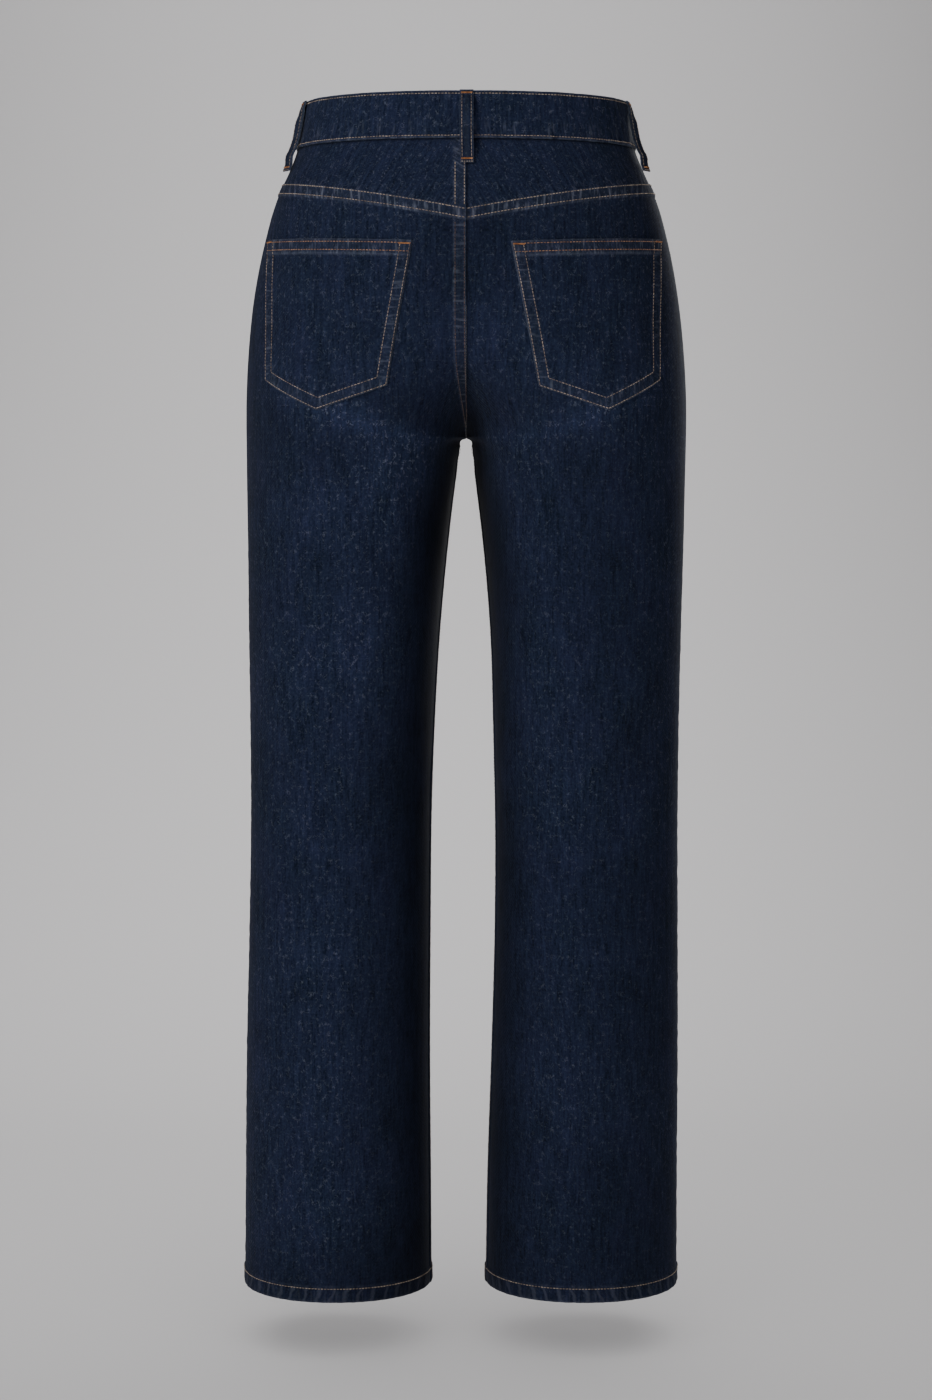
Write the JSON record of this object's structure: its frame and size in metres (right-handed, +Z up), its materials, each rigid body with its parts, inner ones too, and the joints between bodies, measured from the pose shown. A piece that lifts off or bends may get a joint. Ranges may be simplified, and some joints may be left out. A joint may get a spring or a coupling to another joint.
{
  "type": "high-rise straight-leg jeans",
  "caption": "High-rise straight-leg denim jeans in their worn form, hollow, with a yoke, patch back pockets, belt loops and a button fly band over a zip.",
  "frame": {"origin": "middle of the waist opening, halfway up the waistband, where the wearer holds the garment up", "axes": "+Z up, out of the waist opening; -Y to the front, the fly's side; +X to the wearer's left"},
  "size_m": [0.3943, 0.244, 1.0494],
  "materials": {
    "denim": "matte dark indigo twill",
    "button_metal": "aged satin metal",
    "zip_tape": "matte woven tape with a metal chain"
  },
  "bodies": {
    "root": {"back_left": "denim", "back_right": "denim", "yoke_left": "denim", "yoke_right": "denim", "front_left": "denim", "front_right": "denim", "pocket_facing_left": "denim", "pocket_facing_right": "denim", "back_pocket_left": "denim", "back_pocket_right": "denim", "waistband": "denim", "belt_loop_back": "denim", "belt_loop_side_left": "denim", "belt_loop_side_right": "denim", "belt_loop_front_left": "denim", "belt_loop_front_right": "denim", "waist_button": "button_metal", "zip": "zip_tape"}
  },
  "joints": []
}
